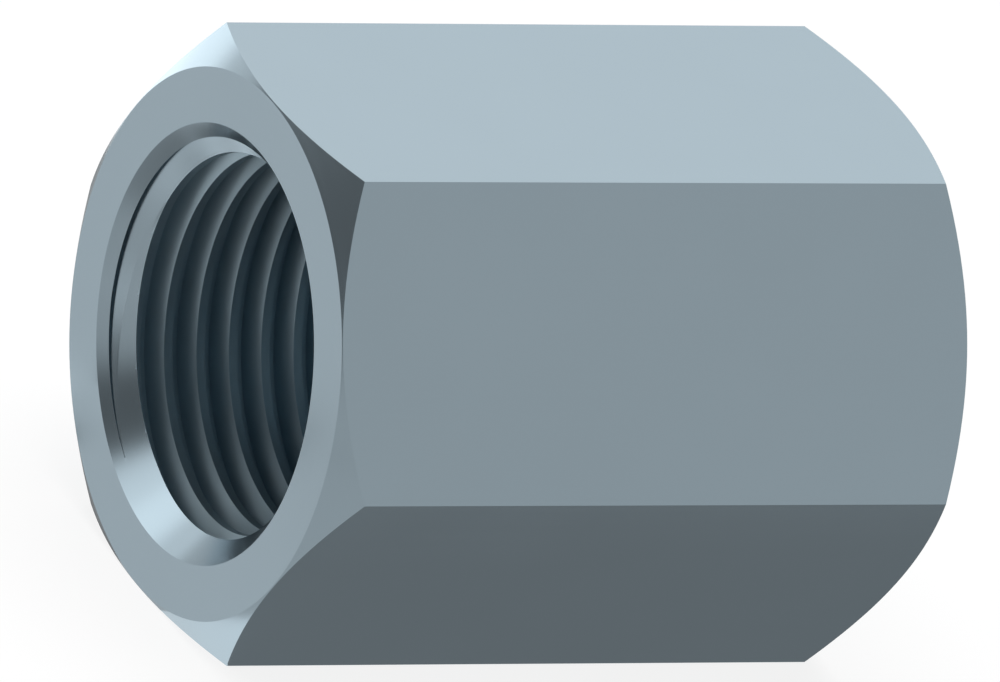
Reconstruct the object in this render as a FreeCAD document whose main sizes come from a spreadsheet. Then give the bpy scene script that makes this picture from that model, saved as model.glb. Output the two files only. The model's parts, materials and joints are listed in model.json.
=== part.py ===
import FreeCAD, Part
import os
import Sketcher

# Reducing pipe coupling: one piece of hexagon bar, chamfered at both ends and drilled to thread size
# from each end. Millimetres.
#
# The pipe axis is X, with the large socket opening towards -X and the small one towards +X. The origin
# is on the axis at mid-length, and the coupling lies on one of its flats, so +Z is square to a flat.
# Both bores have the inner diameter of their pipe thread: the thread is cut into these walls and isn't
# part of this model.

NODE = "coupling_body"
SIDES = 6
FULL_TURN = 360
HALF_TURN = 180

doc = FreeCAD.newDocument("reducing_coupling")


# Driving sizes, in millimetres and degrees

SIZES = [
    ("large_bore_diameter", 18.63, "inner diameter of a half-inch parallel pipe thread"),
    ("large_countersink_width", 1.43, "countersink at the large mouth, measured along the radius"),
    ("large_socket_depth", 18.0, "large end face to the end of its straight wall"),
    ("small_bore_diameter", 14.95, "inner diameter of a three-eighths-inch parallel pipe thread"),
    ("small_countersink_width", 1.1, "countersink at the small mouth, measured along the radius"),
    ("small_socket_depth", 17.0, "small end face to the plane where the large socket's straight wall ends"),
    ("countersink_angle", 90.0, "included angle of both countersinks"),
    ("drill_point_angle", 118.0, "included angle of the drill that leaves the shoulder between the bores"),
    ("wall_at_mouth", 2.755, "metal between the large mouth and the middle of a flat"),
    ("corner_chamfer_angle", 30.0, "slope of the turned corner chamfer, measured from the end face"),
    ("ring_inset", 0.05, "how far the round end face stays inside the flats"),
]

sheet = doc.addObject("Spreadsheet::Sheet", "sizes")
for row, (alias, value, note) in enumerate(SIZES, start=1):
    sheet.set(f"A{row}", alias)
    sheet.set(f"B{row}", str(value))
    sheet.set(f"C{row}", note)
    sheet.setAlias(f"B{row}", alias)
doc.recompute()


# Sizes that follow from the driving ones, as expressions

ACROSS_FLATS = "(sizes.large_bore_diameter + 2 * sizes.large_countersink_width + 2 * sizes.wall_at_mouth)"
CORNER_RADIUS = f"({ACROSS_FLATS} / 2 / cos({HALF_TURN} / {SIDES}))"
RING_RADIUS = f"({ACROSS_FLATS} / 2 - sizes.ring_inset)"
BODY_LENGTH = "(sizes.large_socket_depth + sizes.small_socket_depth)"
HALF_LENGTH = f"({BODY_LENGTH} / 2)"


def value_of(size):
    """The number that an expression gives now."""
    return FreeCAD.Units.Quantity(sheet.evalExpression(size)).Value


# Sketching

X_AXIS_INDEX = -1
Y_AXIS_INDEX = -2
ORIGIN_INDEX = (-1, 1)
START_INDEX = 1
END_INDEX = 2
CENTRE_INDEX = 3
AXIS_X = FreeCAD.Vector(1, 0, 0)
AXIS_Y = FreeCAD.Vector(0, 1, 0)
AXIS_Z = FreeCAD.Vector(0, 0, 1)


def origin_plane(body, role):
    """The body's own origin plane with this role."""
    return next(feature for feature in body.Origin.OriginFeatures if feature.Role == role)


def new_sketch(body, name, role):
    """An empty sketch on one of the body's origin planes."""
    sketch = body.newObject("Sketcher::SketchObject", name)
    sketch.AttachmentSupport = (origin_plane(body, role), [""])
    sketch.MapMode = "FlatFace"
    return sketch


def constrain(sketch, kind, *geometry):
    """Adds one constraint to the sketch and gives its number."""
    return sketch.addConstraint(Sketcher.Constraint(kind, *geometry))


def closed_outline(sketch, corners):
    """Joins the corners by straight lines into one closed outline. Line n starts at corner n."""
    count = len(corners)
    for index, corner in enumerate(corners):
        sketch.addGeometry(Part.LineSegment(corner, corners[(index + 1) % count]))
    for index in range(count):
        constrain(sketch, "Coincident", index, END_INDEX, (index + 1) % count, START_INDEX)


def turned_outline(sketch, corners):
    """Draws an outline to be turned about the sketch's x axis.

    Each corner is a depth along that axis and a radius from it. Both are expressions, or None for zero.
    """
    places = [[value_of(size) if size else 0 for size in corner] for corner in corners]
    closed_outline(sketch, [FreeCAD.Vector(depth, radius, 0) for depth, radius in places])
    rules = (("DistanceX", Y_AXIS_INDEX), ("DistanceY", X_AXIS_INDEX))
    for line, corner in enumerate(corners):
        for size, place, (kind, zero_axis) in zip(corner, places[line], rules):
            if size is None:
                constrain(sketch, "PointOnObject", line, START_INDEX, zero_axis)
                continue
            number = constrain(sketch, kind, *ORIGIN_INDEX, line, START_INDEX, place)
            sketch.setExpression(f"Constraints[{number}]", size)


def turn_away(body, name, sketch):
    """Turns the sketched outline about the pipe axis and cuts it out of the body."""
    groove = body.newObject("PartDesign::Groove", name)
    groove.Profile = sketch
    groove.ReferenceAxis = (sketch, ["H_Axis"])
    groove.Angle = FULL_TURN
    doc.recompute()
    return groove


# Hexagon bar

def hexagon_bar(body):
    """A length of hexagon bar, centred on the origin, with two flats square to Z."""
    sketch = new_sketch(body, "hexagon_outline", "YZ_Plane")
    radius = value_of(CORNER_RADIUS)
    spokes = [FreeCAD.Rotation(AXIS_Z, side * FULL_TURN / SIDES) for side in range(SIDES)]
    closed_outline(sketch, [spoke.multVec(AXIS_X * radius) for spoke in spokes])
    circle = sketch.addGeometry(Part.Circle(FreeCAD.Vector(), AXIS_Z, radius), True)
    constrain(sketch, "Coincident", circle, CENTRE_INDEX, *ORIGIN_INDEX)
    for side in range(SIDES):
        constrain(sketch, "PointOnObject", side, START_INDEX, circle)
    for side in range(1, SIDES):
        constrain(sketch, "Equal", 0, side)
    constrain(sketch, "PointOnObject", 0, START_INDEX, X_AXIS_INDEX)
    number = constrain(sketch, "Radius", circle, radius)
    sketch.setExpression(f"Constraints[{number}]", CORNER_RADIUS)

    bar = body.newObject("PartDesign::Pad", "hexagon_bar")
    bar.Profile = sketch
    bar.SideType = "Symmetric"
    bar.setExpression("Length", BODY_LENGTH)
    doc.recompute()


# Corner chamfers

def corner_chamfers(body):
    """The cone turned across the six corners at the small end, mirrored to the large end."""
    sketch = new_sketch(body, "chamfer_outline", "XY_Plane")
    beyond_corners = f"(2 * {CORNER_RADIUS})"
    chamfer_run = f"({beyond_corners} - {RING_RADIUS}) * tan(sizes.corner_chamfer_angle)"
    turned_outline(sketch, [
        (HALF_LENGTH, RING_RADIUS),
        (HALF_LENGTH, beyond_corners),
        (f"{HALF_LENGTH} - {chamfer_run}", beyond_corners),
    ])
    small_end = turn_away(body, "small_end_chamfer", sketch)

    both_ends = body.newObject("PartDesign::Mirrored", "both_chamfers")
    both_ends.Originals = [small_end]
    both_ends.MirrorPlane = (origin_plane(body, "YZ_Plane"), [""])
    body.Tip = both_ends
    doc.recompute()


# Drilled and countersunk sockets

def socket(body, end, outwards):
    """A bore drilled from one end face, with a countersunk mouth and the cone of the drill's point.

    The sketch's origin is on the pipe axis in the end face, and its x axis runs into the metal.
    """
    sketch = new_sketch(body, f"{end}_socket_outline", "XY_Plane")
    face_place = f"{outwards} * {HALF_LENGTH}"
    facing = FreeCAD.Rotation(AXIS_Y, HALF_TURN if outwards > 0 else 0)
    sketch.AttachmentOffset = FreeCAD.Placement(AXIS_X * value_of(face_place), facing)
    sketch.setExpression("AttachmentOffset.Base.x", face_place)

    bore_radius = f"sizes.{end}_bore_diameter / 2"
    mouth_radius = f"{bore_radius} + sizes.{end}_countersink_width"
    countersink_depth = f"sizes.{end}_countersink_width / tan(sizes.countersink_angle / 2)"
    wall_end = f"sizes.{end}_socket_depth"
    point_end = f"{wall_end} + {bore_radius} / tan(sizes.drill_point_angle / 2)"
    turned_outline(sketch, [
        (None, None),
        (None, mouth_radius),
        (countersink_depth, bore_radius),
        (wall_end, bore_radius),
        (point_end, None),
    ])
    turn_away(body, f"{end}_socket", sketch)


# The coupling

coupling = doc.addObject("PartDesign::Body", "coupling")
coupling.Label = NODE
hexagon_bar(coupling)
volumes = [coupling.Shape.Volume]
corner_chamfers(coupling)
volumes.append(coupling.Shape.Volume)
socket(coupling, "large", -1)
volumes.append(coupling.Shape.Volume)
socket(coupling, "small", 1)
volumes.append(coupling.Shape.Volume)


# Checks: nothing failed, every cut took metal away, and the coupling is one valid solid

for thing in doc.Objects:
    if "Invalid" in thing.State or "Error" in thing.State:
        raise RuntimeError(f"{thing.Name} failed: {thing.State}")
for before, after in zip(volumes, volumes[1:]):
    if after >= before:
        raise RuntimeError(f"a cut took nothing away: {volumes}")
if coupling.Shape.isNull() or not coupling.Shape.isValid() or len(coupling.Shape.Solids) != 1:
    raise RuntimeError("the coupling isn't one valid solid")


# Export

os.makedirs("parts", exist_ok=True)
coupling.Shape.exportStep(os.path.join("parts", f"{coupling.Label}.step"))
print(f"{coupling.Label}: {value_of(BODY_LENGTH):.2f} mm long, {value_of(ACROSS_FLATS):.2f} mm across flats,",
      f"{coupling.Shape.Volume:.1f} cubic mm")
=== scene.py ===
# %% [markdown]
# A reducing pipe coupling. The real thing is one piece of hexagon bar: the bar is cut to length,
# its corners are turned off at both ends, and a tapped socket is bored from each end, the large one
# and the next size down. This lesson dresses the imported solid: it adds the two threads, the finish
# of each machined surface, a studio and a camera. Everything is in metres, in the frame that the
# solid was packed in.

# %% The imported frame
import bmesh
import bpy
import json
import math
from dataclasses import dataclass
from mathutils import Matrix, Vector


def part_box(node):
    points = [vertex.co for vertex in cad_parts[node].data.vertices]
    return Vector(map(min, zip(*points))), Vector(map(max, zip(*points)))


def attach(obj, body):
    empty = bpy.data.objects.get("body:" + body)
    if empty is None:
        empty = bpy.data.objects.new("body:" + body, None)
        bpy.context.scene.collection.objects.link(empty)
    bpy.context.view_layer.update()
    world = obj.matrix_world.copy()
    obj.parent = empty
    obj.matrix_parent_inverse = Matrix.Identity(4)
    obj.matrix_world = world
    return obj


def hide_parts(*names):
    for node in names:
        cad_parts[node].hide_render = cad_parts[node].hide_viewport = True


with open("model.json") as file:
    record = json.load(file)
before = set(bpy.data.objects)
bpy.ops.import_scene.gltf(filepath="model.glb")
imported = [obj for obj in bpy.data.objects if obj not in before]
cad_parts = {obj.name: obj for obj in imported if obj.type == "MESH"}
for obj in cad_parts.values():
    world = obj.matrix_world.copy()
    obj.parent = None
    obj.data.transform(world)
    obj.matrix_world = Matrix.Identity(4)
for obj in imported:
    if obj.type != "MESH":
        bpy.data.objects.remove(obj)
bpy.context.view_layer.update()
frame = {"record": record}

# %% [markdown]
# The solid already has the right outside and the right bores, so its main sizes are read from it:
# the box gives the length and the width across the flats, and the two thread mounts give the bores.
# What they don't say is written where it is needed: the threads per inch, where each groove starts
# and ends, and the slope of the corner chamfer.

# %% Sizes
MM = 0.001
INCH = 25.4 * MM
NODE = "coupling_body"
low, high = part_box(NODE)
across_flats = high.z - low.z
mounts = {mount["name"]: mount for mount in frame["record"]["mounts"]}
print(f"{(high.x - low.x) / MM:.2f} mm long, {across_flats / MM:.2f} mm across flats")


# %% [markdown]
# A socket is a countersunk bore with a thread in it. The thread mount says where the straight wall
# of the bore starts and ends; the countersink is what lies between the end face and that wall, and
# it is as wide as it is deep because its included angle is 90 degrees. Each thread stops short of
# the end of its bore, where the tap's tapered lead leaves the last turns shallower and shallower.

# %% The two sockets
@dataclass
class Socket:
    mouth_x: float
    inwards: int
    bore_radius: float
    countersink: float
    pitch: float
    groove_start: float
    thread_end: float
    wall_end_x: float


def socket_from_mount(name, threads_per_inch, groove_start, thread_end):
    """Reads one socket from its mount. Depths count from the end face, inwards."""
    mount = mounts[name]
    inwards = -round(mount["axis"][0])
    mouth_x = low.x if inwards > 0 else high.x
    half_wall = mount["dims"]["length_mm"] * MM / 2
    wall_start_x = mount["pos_m"][0] - inwards * half_wall
    wall_end_x = mount["pos_m"][0] + inwards * half_wall
    return Socket(mouth_x, inwards, mount["dims"]["r_mm"] * MM, abs(wall_start_x - mouth_x),
                  INCH / threads_per_inch, groove_start, thread_end, wall_end_x)


large = socket_from_mount("large_thread", threads_per_inch=14,
                          groove_start=0.65 * MM, thread_end=16.4 * MM)
small = socket_from_mount("small_thread", threads_per_inch=19,
                          groove_start=0.55 * MM, thread_end=14.6 * MM)
for socket in (large, small):
    print(f"bore {socket.bore_radius / MM:.3f} mm, pitch {socket.pitch / MM:.3f} mm,"
          f" countersink {socket.countersink / MM:.2f} mm")


# %% [markdown]
# The tap cuts a groove with straight flanks, 60 degrees apart, and a narrow flat root. The crests
# between the turns are what is left of the drilled bore, so they are flat too, and their edges are
# sharp. Root and crest are fixed shares of the pitch, and the groove's depth follows from them, so
# one function of the distance from the middle of the groove gives the whole profile.

# %% The thread's profile
FLANK_ANGLE = math.radians(30)
ROOT_END = 1 / 16
CREST_START = 3 / 8
HEIGHT_SHARE = (CREST_START - ROOT_END) / math.tan(FLANK_ANGLE)


def groove_depth(offset):
    """How deep the groove is, in pitches, at an offset in pitches from its middle (0 to 0.5)."""
    return min(max((CREST_START - offset) / math.tan(FLANK_ANGLE), 0), HEIGHT_SHARE)


print("thread heights in mm:", [round(HEIGHT_SHARE * s.pitch / MM, 3) for s in (large, small)])

# %% [markdown]
# The thread goes deeper as it turns, and the countersink cuts its first turns away. Instead of
# cutting one shape out of another, the wall is written as a height field: at any angle and depth
# the wall lies at the larger of the cone and the groove. Both ends have right-hand threads, so the
# groove moves towards +X as the angle grows, which is deeper in the large socket and shallower in
# the small one.

# %% The wall of a socket
FULL_TURN = 2 * math.pi
LEAD_SLOPE = 0.25


def cone_radius(socket, depth):
    return socket.bore_radius + socket.countersink - depth


def tapped_radius(socket, angle, depth):
    """Radius of the threaded bore, as if it had no countersink."""
    turns = (depth - socket.groove_start) / socket.pitch - socket.inwards * angle / FULL_TURN
    cut = groove_depth(abs(turns - round(turns))) * socket.pitch
    lead = max(socket.thread_end - depth, 0) * LEAD_SLOPE
    return socket.bore_radius + min(cut, lead)


def wall_radius(socket, angle, depth):
    return max(cone_radius(socket, depth), tapped_radius(socket, angle, depth))


print("first groove at angle 0:", round(wall_radius(large, 0, large.groove_start) / MM, 3), "mm radius")

# %% [markdown]
# Rows of points that follow the helix keep the crests and roots crisp, because every corner of the
# profile then runs along a row. Each corner has a close row on both sides, and a few more share out
# the straight flank. A row that would lie outside the socket is pressed flat onto its edge, and
# those points are merged at the end.

# %% Rows that follow the helix
COLUMNS = 144
CLOSE_ROW = 0.012
CREST_MIDDLE = 0.5
SPARE_TURNS = 2
angles = [FULL_TURN * column / COLUMNS for column in range(COLUMNS + 1)]


def rows_in_a_pitch(flank_parts):
    """Where rows cross one pitch, as shares of it from the middle of the groove."""
    root = [0, ROOT_END / 2, ROOT_END - CLOSE_ROW, ROOT_END]
    flank_start = ROOT_END + CLOSE_ROW
    flank_run = CREST_START - CLOSE_ROW - flank_start
    flank = [flank_start + flank_run * part / flank_parts for part in range(flank_parts + 1)]
    crest = [CREST_START, CREST_START + CLOSE_ROW, (CREST_START + CREST_MIDDLE) / 2, CREST_MIDDLE]
    half = root + flank + crest
    return half + [1 - share for share in reversed(half[1:-1])]


def helix_depths(socket, angle, shares):
    """The depths of all rows at one angle, from the mouth to the end of the thread."""
    start = socket.groove_start + socket.inwards * socket.pitch * angle / FULL_TURN
    first = math.floor(-socket.groove_start / socket.pitch) - SPARE_TURNS
    last = math.ceil(socket.thread_end / socket.pitch) + SPARE_TURNS
    turns = [turn + share for turn in range(first, last) for share in shares]
    depths = [start + socket.pitch * turn for turn in turns]
    return [min(max(depth, 0.0), socket.thread_end) for depth in depths]


large_rows = rows_in_a_pitch(flank_parts=6)
small_rows = rows_in_a_pitch(flank_parts=2)
print("rows in a pitch:", len(large_rows), "and", len(small_rows))

# %% [markdown]
# Where the groove breaks out through the countersink there is a sharp lip, and it runs across the
# rows. At each angle the lip's depth is found by halving, and the nearest row is moved onto it, so
# the lip is an edge of the mesh and not a row of teeth.

# %% The lip between countersink and groove
SEARCH_STEPS = 160
SEARCH_REACH = 1.05
HALVINGS = 30


def lip_depths(socket, angle):
    """Depths at which the countersink and the threaded bore cross."""
    def gap(depth):
        return cone_radius(socket, depth) - tapped_radius(socket, angle, depth)

    found = []
    step = SEARCH_REACH * socket.countersink / SEARCH_STEPS
    for index in range(SEARCH_STEPS):
        near, far = index * step, (index + 1) * step
        if gap(near) * gap(far) >= 0:
            continue
        for _ in range(HALVINGS):
            middle = (near + far) / 2
            if gap(near) * gap(middle) > 0:
                near = middle
            else:
                far = middle
        found.append((near + far) / 2)
    return found


def snapped_depths(socket, angle, shares):
    """The depths of all rows at one angle, with a row moved onto each lip, and which rows moved."""
    depths = helix_depths(socket, angle, shares)
    moved = set()
    for lip in lip_depths(socket, angle):
        inside = [row for row, depth in enumerate(depths) if 0 < depth < socket.thread_end]
        free = [row for row in inside if row not in moved]
        nearest = min(free, key=lambda row: abs(depths[row] - lip))
        depths[nearest] = lip
        moved.add(nearest)
    return depths, moved


print("lips at angle 0, in mm:", [round(depth / MM, 3) for depth in lip_depths(large, 0)])

# %% [markdown]
# The whole coupling is one skin. Going round its section, the rows are: the wall of the large
# socket from the mouth inwards, the shoulder between the bores, the wall of the small socket back
# out, the small end face, the chamfer, the flats, the other chamfer and the large end face. The
# first angle is repeated after a full turn, where the helix has moved on by one pitch, and merging
# closes the seam.

# %% The skin of the coupling
DRAWN, TURNED, TAPPED = range(3)
CONE_TOLERANCE = 0.002 * MM
MERGE_DISTANCE = 0.0002 * MM
skin = bmesh.new()


def point(x, radius, angle):
    return skin.verts.new((x, radius * math.cos(angle), radius * math.sin(angle)))


def facet(corners, finish):
    face = skin.faces.new(corners)
    face.material_index = finish
    face.smooth = True


def ring(x_at, radius_at):
    """A row of points round the axis; both arguments are functions of the angle."""
    return [point(x_at(angle), radius_at(angle), angle) for angle in angles]


def strip(first, second, finish):
    """Faces between two rows of points."""
    for column in range(COLUMNS):
        facet((first[column], first[column + 1], second[column + 1], second[column]), finish)


def bright_depth(socket, angle):
    """How deep the finish of the mouth goes at one angle.

    It ends on the first crest past the groove that opens into the countersink. Deeper, the
    thread has its paler plating, which is painted fill light for the shade in the grooves.
    """
    turn = socket.inwards * angle / FULL_TURN
    groove = math.floor((socket.countersink - socket.groove_start) / socket.pitch - turn)
    return socket.groove_start + socket.pitch * (groove + turn + CREST_START)


def socket_skin(socket, shares):
    """The threaded and countersunk wall of one socket."""
    grid = []
    lips = []
    for angle in angles:
        depths, moved = snapped_depths(socket, angle, shares)
        xs = [socket.mouth_x + socket.inwards * depth for depth in depths]
        radii = [wall_radius(socket, angle, depth) for depth in depths]
        points = [point(x, radius, angle) for x, radius in zip(xs, radii)]
        grid.append(list(zip(points, depths)))
        lips.append(moved)
    for column in range(COLUMNS):
        for row in range(len(grid[0]) - 1):
            places = ((column, row), (column + 1, row), (column + 1, row + 1), (column, row + 1))
            depths = [grid[c][r][1] for c, r in places]
            if max(depths) == 0 or min(depths) == socket.thread_end:
                continue
            corners = [grid[c][r][0] for c, r in places]
            on_lip = [r in lips[c] for c, r in places]
            radii = [math.hypot(v.co.y, v.co.z) for v in corners]
            off_cone = [radius - cone_radius(socket, d) for radius, d in zip(radii, depths)]
            past_mouth = [d - bright_depth(socket, angles[c]) for (c, r), d in zip(places, depths)]
            finish = TURNED if min(max(past_mouth), max(off_cone)) < CONE_TOLERANCE else TAPPED
            if on_lip == [True, False, True, False]:
                facet(corners[0:3], finish)
                facet((corners[0], corners[2], corners[3]), finish)
            elif on_lip == [False, True, False, True]:
                facet(corners[1:4], finish)
                facet((corners[1], corners[3], corners[0]), finish)
            else:
                facet(corners, finish)


socket_skin(large, large_rows)
socket_skin(small, small_rows)
print("socket faces:", len(skin.faces))

# %% [markdown]
# The hexagon's radius depends on the angle: it is half the width across flats, divided by the
# cosine of the angle from the middle of a flat. The turned chamfer is a cone at 30 degrees to the
# end face, so it meets the hexagon in six shallow arches, deepest at the corners.

# %% The outside and the shoulder
FLATS = 6
FLAT_ANGLE = FULL_TURN / FLATS
CHAMFER_ANGLE = math.radians(30)
RING_INSET = 0.05 * MM
ring_radius = across_flats / 2 - RING_INSET


def hexagon_radius(angle):
    return across_flats / 2 / math.cos(angle % FLAT_ANGLE - FLAT_ANGLE / 2)


def chamfer_run(angle):
    return (hexagon_radius(angle) - ring_radius) * math.tan(CHAMFER_ANGLE)


def outside_half(socket):
    """The rows of one end, from its mouth to the edge of its flats."""
    mouth_radius = socket.bore_radius + socket.countersink
    mouth = ring(lambda angle: socket.mouth_x, lambda angle: mouth_radius)
    rim = ring(lambda angle: socket.mouth_x, lambda angle: ring_radius)
    arches = ring(lambda angle: socket.mouth_x + socket.inwards * chamfer_run(angle), hexagon_radius)
    strip(mouth, rim, TURNED)
    strip(rim, arches, TURNED)
    return arches


def plain_wall(socket):
    """The smooth wall between the end of the thread and the end of the bore."""
    thread_end_x = socket.mouth_x + socket.inwards * socket.thread_end
    start = ring(lambda angle: thread_end_x, lambda angle: socket.bore_radius)
    end = ring(lambda angle: socket.wall_end_x, lambda angle: socket.bore_radius)
    strip(start, end, TURNED)
    return end


strip(outside_half(large), outside_half(small), DRAWN)
strip(plain_wall(large), plain_wall(small), TURNED)
print("faces in all:", len(skin.faces))

# %% [markdown]
# Merging joins the rows into one closed skin. A closed skin has two faces at every edge, which is
# worth counting, and normals that can be turned outwards in one go. Every edge that bends by more
# than a few degrees is marked sharp, so the flats stay flat and only the round surfaces are shaded
# as round.

# %% One closed mesh
SHARP_ANGLE = math.radians(8)
bmesh.ops.remove_doubles(skin, verts=skin.verts, dist=MERGE_DISTANCE)
bmesh.ops.dissolve_degenerate(skin, edges=skin.edges, dist=MERGE_DISTANCE)
bmesh.ops.recalc_face_normals(skin, faces=skin.faces)
open_edges = sum(not edge.is_manifold for edge in skin.edges)
body_mesh = bpy.data.meshes.new("threaded_coupling")
skin.to_mesh(body_mesh)
skin.free()
body_mesh.set_sharp_from_angle(angle=SHARP_ANGLE)
coupling = bpy.data.objects.new("threaded_coupling", body_mesh)
bpy.context.scene.collection.objects.link(coupling)
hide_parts(NODE)
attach(coupling, "root")
triangles = sum(len(face.vertices) - 2 for face in body_mesh.polygons)
print(f"{triangles} triangles, {open_edges} open edges")


# %% [markdown]
# Materials come next. Their maths reads best as Python expressions, so this small class wraps a
# shader socket: the operators add Math nodes, and one method adds any other node, with its settings
# set before its sockets.

# %% Shader maths
class Wire:
    """An output socket of a shader node."""

    def __init__(self, socket):
        self.socket = socket

    @staticmethod
    def node(tree, kind, settings=None, output=0, **sockets):
        """Adds a node and gives one of its outputs.

        A socket goes by its name, with _ for each space, or by i and its number.
        """
        made = tree.nodes.new(kind)
        for name, value in (settings or {}).items():
            setattr(made, name, value)
        for name, value in sockets.items():
            key = int(name[1:]) if name[1:].isdigit() else name.replace("_", " ")
            if isinstance(value, Wire):
                tree.links.new(value.socket, made.inputs[key])
            else:
                made.inputs[key].default_value = value
        return Wire(made.outputs[output]) if made.outputs else made

    def _maths(self, operation, left, right):
        tree = self.socket.id_data
        return Wire.node(tree, "ShaderNodeMath", {"operation": operation}, i0=left, i1=right)

    def __add__(self, other):
        return self._maths("ADD", self, other)

    def __radd__(self, other):
        return self._maths("ADD", other, self)

    def __sub__(self, other):
        return self._maths("SUBTRACT", self, other)

    def __mul__(self, other):
        return self._maths("MULTIPLY", self, other)

    def __rmul__(self, other):
        return self._maths("MULTIPLY", other, self)

    def most(self, other):
        return self._maths("MAXIMUM", self, other)


print("socket class ready:", Wire.__name__)

# %% [markdown]
# The coupling is zinc plated: a bright metal with a cool blue-grey cast and a satin gloss. The
# three finishes differ in the marks under the plating, which follow the way each surface was made:
# fine lines along the bar on the drawn flats, rings round the axis on the turned ends, and a
# duller, busier surface where the tap has cut. The marks are far smaller than the part, so they
# show as a slight change of gloss and tone from place to place, and only close up as lines. In the
# thread the plating is painted paler and its metal value is just under 1, so that it scatters a
# little light. Both are painted fill light, which lifts the shade deep in the grooves.

# %% The plating
ZINC = (0.320, 0.400, 0.450)
# Painted fill light: the thread's plating is paler than ZINC to lift the shade deep in its grooves.
THREAD_ZINC_PAINTED_FILL = (0.395, 0.505, 0.565)
PALER = 1.07
EDGE_TINT = (0.7, 0.7, 0.7, 1.0)
CLOUD_SCALE = 160.0
CLOUD_TONE = 0.6
MARK_TONE = 0.4
CLOUD_GLOSS = 0.5
MIDDLE = 0.5


def plated_finish(name, zinc, metal, marks_of, roughness, gloss_change, mark_height):
    """A zinc-plated finish. marks_of draws its tool marks, from 0 to 1, at a place on the part."""
    material = bpy.data.materials.new(name)
    material.use_nodes = True
    tree = material.node_tree
    tree.nodes.clear()
    place = Wire.node(tree, "ShaderNodeTexCoord", output="Object")
    marks = marks_of(tree, place)
    cloud = Wire.node(tree, "ShaderNodeTexNoise", Vector=place, Scale=CLOUD_SCALE, Detail=2.0)
    tone = cloud * CLOUD_TONE + marks * MARK_TONE
    pale = [PALER * value for value in zinc]
    colour = Wire.node(tree, "ShaderNodeMix", {"data_type": "RGBA"}, output=2,
                       i0=tone, i6=(*zinc, 1.0), i7=(*pale, 1.0))
    gloss = roughness + gloss_change * (marks - MIDDLE) + gloss_change * CLOUD_GLOSS * (cloud - MIDDLE)
    relief = Wire.node(tree, "ShaderNodeBump", Strength=1.0, Distance=mark_height, Height=marks)
    shader = Wire.node(tree, "ShaderNodeBsdfPrincipled", Metallic=metal, Specular_Tint=EDGE_TINT,
                       Base_Color=colour, Roughness=gloss, Normal=relief)
    Wire.node(tree, "ShaderNodeOutputMaterial", Surface=shader)
    coupling.data.materials.append(material)
    return material


print("plating colour:", ZINC)

# %% [markdown]
# Drawn marks are noise stretched along the bar. Turned marks depend on the distance from the axis
# and the place along it, and hardly on the angle, so they make rings on every face that the lathe
# cut. Tapped marks are short scratches that run round the thread.

# %% Tool marks
DRAWN_STRETCH = (45.0, 3200.0, 3200.0)
RING_SCALE = 5200.0
TAP_STRETCH = (6500.0, 500.0, 500.0)
ACROSS_ONLY = (0.0, 1.0, 1.0)


def stretched(tree, place, stretch):
    return Wire.node(tree, "ShaderNodeVectorMath", {"operation": "MULTIPLY"}, i0=place, i1=stretch)


def drawn_marks(tree, place):
    scratches = stretched(tree, place, DRAWN_STRETCH)
    return Wire.node(tree, "ShaderNodeTexNoise", Vector=scratches, Scale=1.0, Detail=3.0)


def turned_marks(tree, place):
    across = stretched(tree, place, ACROSS_ONLY)
    reach = Wire.node(tree, "ShaderNodeVectorMath", {"operation": "LENGTH"}, output="Value", i0=across)
    along = Wire.node(tree, "ShaderNodeSeparateXYZ", Vector=place)
    return Wire.node(tree, "ShaderNodeTexNoise", {"noise_dimensions": "1D"},
                     W=(reach + along) * RING_SCALE, Scale=1.0, Detail=2.0)


def tapped_marks(tree, place):
    scratches = stretched(tree, place, TAP_STRETCH)
    return Wire.node(tree, "ShaderNodeTexNoise", Vector=scratches, Scale=1.0, Detail=3.0)


finishes = [
    plated_finish("zinc_on_drawn_flats", ZINC, metal=1.0, marks_of=drawn_marks,
                  roughness=0.24, gloss_change=0.06, mark_height=0.0002 * MM),
    plated_finish("zinc_on_turned_ends", ZINC, metal=1.0, marks_of=turned_marks,
                  roughness=0.24, gloss_change=0.06, mark_height=0.0002 * MM),
    # The thread's paler plating and its metal value under 1 are painted fill light for its grooves.
    plated_finish("zinc_on_tapped_thread_painted_fill", THREAD_ZINC_PAINTED_FILL, metal=0.96, marks_of=tapped_marks,
                  roughness=0.34, gloss_change=0.08, mark_height=0.0001 * MM),
]
print("finishes:", [finish.name for finish in finishes])

# %% [markdown]
# The studio has a white floor. A floor that only reflects the lamps would have to be lit far
# brighter than the part to look white, so most of its white is its own: to the camera and to the
# metal it glows at strength 1, mixed with a plain matt white that keeps the part's soft shadow.

# %% The floor
FLOOR_RADIUS = 0.5
FLOOR_DROP = 0.01 * MM
FLOOR_GLOW = 0.85
DISC_SEGMENTS = 96
FLOOR_WHITE = (0.95, 0.95, 0.95, 1.0)


def disc(name, radius, z):
    shape = bmesh.new()
    bmesh.ops.create_circle(shape, cap_ends=True, segments=DISC_SEGMENTS, radius=radius)
    mesh = bpy.data.meshes.new(name)
    shape.to_mesh(mesh)
    shape.free()
    made = bpy.data.objects.new(name, mesh)
    made.location.z = z
    bpy.context.scene.collection.objects.link(made)
    return made


floor = disc("studio_floor", FLOOR_RADIUS, low.z - FLOOR_DROP)
floor_paint = bpy.data.materials.new("floor_white")
floor_paint.use_nodes = True
paint = floor_paint.node_tree
paint.nodes.clear()
seen_by = [Wire.node(paint, "ShaderNodeLightPath", output=f"Is {ray} Ray")
           for ray in ("Camera", "Glossy", "Transmission")]
seen = seen_by[0].most(seen_by[1]).most(seen_by[2])
matt = Wire.node(paint, "ShaderNodeBsdfDiffuse", Color=FLOOR_WHITE)
glow = Wire.node(paint, "ShaderNodeEmission", Strength=1.0)
white = Wire.node(paint, "ShaderNodeMixShader", i0=seen * FLOOR_GLOW, i1=matt, i2=glow)
Wire.node(paint, "ShaderNodeOutputMaterial", Surface=white)
floor.data.materials.append(floor_paint)
print("floor at", round(floor.location.z / MM, 3), "mm")

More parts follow.
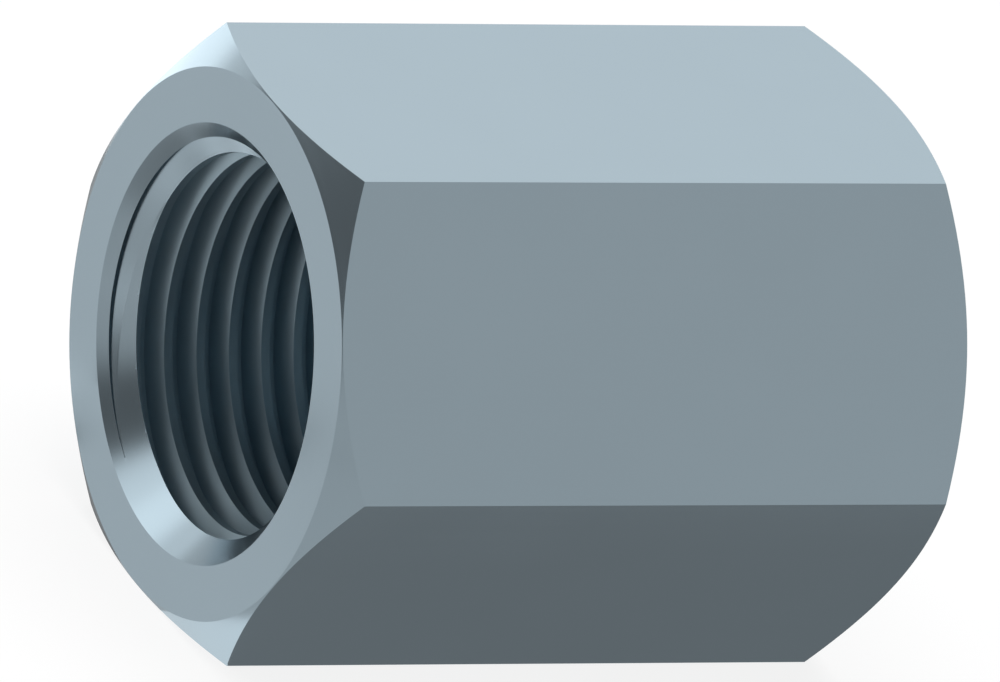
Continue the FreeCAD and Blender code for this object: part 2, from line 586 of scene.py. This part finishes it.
# %% [markdown]
# Polished metal shows its surroundings, so the light here is designed as surroundings: a dim room
# with a few large soft lights. Each is a patch of sky round one direction, full in the middle and
# fading towards its rim. A patch of sky is the same from every point of a flat, which keeps each
# flat one even tone, as a large light far away does in a real studio. The light at the high left is
# three patches that overlap, and the brightest of them counts at each point, so that it reads as
# one long light.

# %% The lights
ROOM_LEVEL = 0.22
BACK_LEVEL = 1.47
FRONT_LEVEL = 0.665
LEFT_HIGH_LEVEL = 2.15
LEFT_FAR_SHARE = 0.78
LEFT_NEAR_SHARE = 0.6
LEFT_EDGE_LEVEL = 0.8
TOP_LEVEL = 0.2
LEFT_LOW_LEVEL = 0.58
studio = bpy.data.worlds.new("studio")
bpy.context.scene.world = studio
studio.use_nodes = True
sky = studio.node_tree
sky.nodes.clear()
towards = Wire.node(sky, "ShaderNodeTexCoord", output="Generated")


def compass(bearing, height):
    """A direction: degrees round from +X towards +Y, and degrees above the horizon."""
    across = math.cos(math.radians(height))
    return Vector((across * math.cos(math.radians(bearing)), across * math.sin(math.radians(bearing)),
                   math.sin(math.radians(height))))


def soft_light(middle, full_angle, rim_angle, level):
    """A patch of light round one direction. Angles are in degrees from its middle."""
    full = math.cos(math.radians(full_angle))
    rim = math.cos(math.radians(rim_angle))
    facing = Wire.node(sky, "ShaderNodeVectorMath", {"operation": "DOT_PRODUCT"}, output="Value",
                       i0=towards, i1=middle)
    return Wire.node(sky, "ShaderNodeMapRange", {"interpolation_type": "SMOOTHSTEP"}, Value=facing,
                     From_Min=rim, From_Max=full, To_Min=0.0, To_Max=level)


back = soft_light(compass(bearing=56, height=26), full_angle=20, rim_angle=36, level=BACK_LEVEL)
front = soft_light(compass(bearing=-56, height=26), full_angle=20, rim_angle=36, level=FRONT_LEVEL)
left_far = soft_light(compass(bearing=146, height=41), full_angle=8, rim_angle=20,
                      level=LEFT_FAR_SHARE * LEFT_HIGH_LEVEL)
left_middle = soft_light(compass(bearing=126, height=34), full_angle=8, rim_angle=19,
                         level=LEFT_HIGH_LEVEL)
left_near = soft_light(compass(bearing=110, height=22), full_angle=5, rim_angle=14,
                       level=LEFT_NEAR_SHARE * LEFT_HIGH_LEVEL)
left_high = left_far.most(left_middle).most(left_near)
left_edge = soft_light(compass(bearing=96, height=8), full_angle=6, rim_angle=18, level=LEFT_EDGE_LEVEL)
top = soft_light(compass(bearing=0, height=90), full_angle=15, rim_angle=35, level=TOP_LEVEL)
left_low = soft_light(compass(bearing=-149, height=4), full_angle=8, rim_angle=26, level=LEFT_LOW_LEVEL)
light = ROOM_LEVEL + back + front + left_high + left_edge + top + left_low
background = Wire.node(sky, "ShaderNodeBackground", Strength=light)
Wire.node(sky, "ShaderNodeOutputWorld", Surface=background)
print("sky nodes:", len(sky.nodes))

# %% [markdown]
# The floor's own white needs some real light as well, or the part would float on it. One large lamp
# hangs overhead and gives the soft shadow. The metal doesn't see it, because its reflections are
# the sky's work.

# %% The lamp over the floor
LAMP_SIZE = 0.6
LAMP_HEIGHT = 0.8
LAMP_POWER = 5.0
lamp = bpy.data.lights.new("lamp_over_floor", "AREA")
lamp.shape = "SQUARE"
lamp.size = LAMP_SIZE
lamp.energy = LAMP_POWER
lamp_object = bpy.data.objects.new("lamp_over_floor", lamp)
lamp_object.location.z = LAMP_HEIGHT
lamp_object.visible_glossy = False
bpy.context.scene.collection.objects.link(lamp_object)
print("lamp at", LAMP_HEIGHT, "m")

# %% [markdown]
# Photographers hold cards next to shiny parts: a black one where a surface should go dark, a white
# one where it should shine. Only the metal sees these cards, so that they neither show in the
# picture nor change the light on the floor. Each is placed for one surface as the camera sees it:
# most lie on the floor round the large mouth, and a few stand behind the top corner. From other
# sides the flats mirror some of them too.

# %% The cards
UNDER_LEVEL = 0.33
CORNER_FAR_LEVEL = 3.0
CORNER_LEVEL = 2.3
CORNER_EDGE_LEVEL = 1.0
FOOT_LEVEL = 1.45
SIDE_LEVEL = 0.68
BEHIND_LEVEL = 0.36
RING_LEVEL = 0.91
BESIDE_LEVEL = 0.58
MOUTH_LEVEL = 0.2
FLANK_LEVEL = 2.4
BELOW_LEVEL = 0.27
SLOPE_LEVEL = 0.4
PALE_LEVEL = 1.6
FLOOR_Z = -13.505
FOOT_Z = -13.501
RING_Z = -13.503
BELOW_Z = -8
CORNER_Y = 25
CARD_FACE = (0, 1, 2, 3)


def card(name, corners, level):
    """A card with its corners in millimetres, which shines at one level to the metal alone."""
    mesh = bpy.data.meshes.new(name)
    mesh.from_pydata([Vector(corner) * MM for corner in corners], [], [CARD_FACE])
    made = bpy.data.objects.new(name, mesh)
    bpy.context.scene.collection.objects.link(made)
    made.visible_camera = False
    made.visible_diffuse = False
    made.visible_shadow = False
    face = bpy.data.materials.new(name)
    face.use_nodes = True
    face.node_tree.nodes.clear()
    shine = Wire.node(face.node_tree, "ShaderNodeEmission", Strength=level)
    Wire.node(face.node_tree, "ShaderNodeOutputMaterial", Surface=shine)
    made.data.materials.append(face)
    return made


def flat(corners, z):
    return [(x, y, z) for x, y in corners]


def upright(corners, y):
    return [(x, y, z) for x, z in corners]


def lying(x_range, y_range, z):
    (left, right), (near, far) = x_range, y_range
    return flat([(left, near), (right, near), (right, far), (left, far)], z)


cards = [
    card("dark_under_the_front", lying((-16.5, 45), (-20, -7.8), FLOOR_Z), UNDER_LEVEL),
    card("white_behind_the_corner",
         upright([(-15, -2.3), (-15, 9.6), (-19, 13.4), (-19, 1.6)], CORNER_Y), CORNER_FAR_LEVEL),
    card("bright_behind_the_corner",
         upright([(-19, 1.6), (-19, 13.4), (-24, 18.1), (-24, 6.5)], CORNER_Y), CORNER_LEVEL),
    card("softer_beside_it",
         upright([(-24, 6.5), (-24, 18.1), (-33, 24), (-33, 12)], CORNER_Y), CORNER_EDGE_LEVEL),
    card("bright_at_the_foot",
         flat([(-20.5, -11), (-16.5, -11), (-16.2, -7.7), (-16.2, 0.6)], FOOT_Z), FOOT_LEVEL),
    card("grey_at_the_side",
         flat([(-480, -420), (-16.7, -35), (-16.7, -6), (-480, 60)], FLOOR_Z), SIDE_LEVEL),
    card("dark_behind_the_rim",
         [(-15, 10.2, -13.4), (-15, 18.4, 1.4), (-15, 23.6, 1.4), (-15, 15.4, -13.4)], BEHIND_LEVEL),
    card("dark_at_the_back_foot", lying((-17.4, -15), (1.5, 16), FLOOR_Z), BEHIND_LEVEL),
    card("grey_before_the_ring", lying((-70, -17.4), (-6, 65), RING_Z), RING_LEVEL),
    card("grey_beside_the_mouth",
         flat([(-29.8, 0.4), (-37.2, 11.2), (-64, 12), (-64, -22)], FOOT_Z), BESIDE_LEVEL),
    card("dark_under_the_mouth",
         flat([(-17.6, 18.8), (-17.6, 14.5), (-20.2, 13.2), (-21.3, 15.2)], FOOT_Z), MOUTH_LEVEL),
    card("grey_below_the_slope",
         flat([(-28.4, 15.8), (-32.2, 13.1), (-30.6, 11.4), (-27.6, 12.9)], FOOT_Z), SLOPE_LEVEL),
    card("pale_below_the_slope",
         flat([(-25.2, 17.6), (-27.2, 17.9), (-27.8, 16.2), (-25.4, 15.4)], FOOT_Z), PALE_LEVEL),
    card("dark_below_the_mouth",
         flat([(-21.2, 13), (-28.2, 5.6), (-25.2, 3), (-18.9, 10.3)], BELOW_Z), BELOW_LEVEL),
    card("bright_below_the_mouth",
         flat([(-17.6, 19.3), (-21.9, 18.7), (-22.2, 20.2), (-17.6, 27)], FOOT_Z), FLANK_LEVEL),
]
print("cards:", [made.name for made in cards])

# %% [markdown]
# The picture has no perspective, so the camera stands far away with a very long lens. One corner of
# the hexagon points straight up in the picture, and the pipe axis is turned 30 degrees out of the
# picture's plane, with the large mouth towards the viewer. Those two facts give all three of the
# camera's directions.

# %% The camera
PICTURE_WIDTH = 1000
PIXELS_PER_MM = 20.52
LENS = 1000.0
SENSOR = 36.0
CLIP_END = 10.0
AXIS_TURN = math.radians(30)
CORNER_UP = math.radians(60)
AIM_RIGHT = -0.843 * MM
AIM_UP = 0.151 * MM

pipe_axis = Vector((1, 0, 0))
picture_up = Vector((0, math.cos(CORNER_UP), math.sin(CORNER_UP)))
sideways = picture_up.cross(pipe_axis)
to_camera = -math.sin(AXIS_TURN) * pipe_axis - math.cos(AXIS_TURN) * sideways
picture_right = picture_up.cross(to_camera)
frame_width = PICTURE_WIDTH / PIXELS_PER_MM * MM
aim = AIM_RIGHT * picture_right + AIM_UP * picture_up
place = aim + to_camera * frame_width * LENS / SENSOR

lens = bpy.data.cameras.new("long_lens")
lens.lens = LENS
lens.sensor_width = SENSOR
lens.clip_end = CLIP_END
camera = bpy.data.objects.new("camera", lens)
turn = Matrix((picture_right, picture_up, to_camera)).transposed().to_4x4()
camera.matrix_world = Matrix.Translation(place) @ turn
bpy.context.scene.collection.objects.link(camera)
bpy.context.scene.camera = camera
print("camera", [round(value, 3) for value in place])
print("looks along", [round(-value, 3) for value in to_camera])

# %% [markdown]
# The last line sets the view transform to Standard.

# %% The view transform
bpy.context.scene.view_settings.view_transform = "Standard"
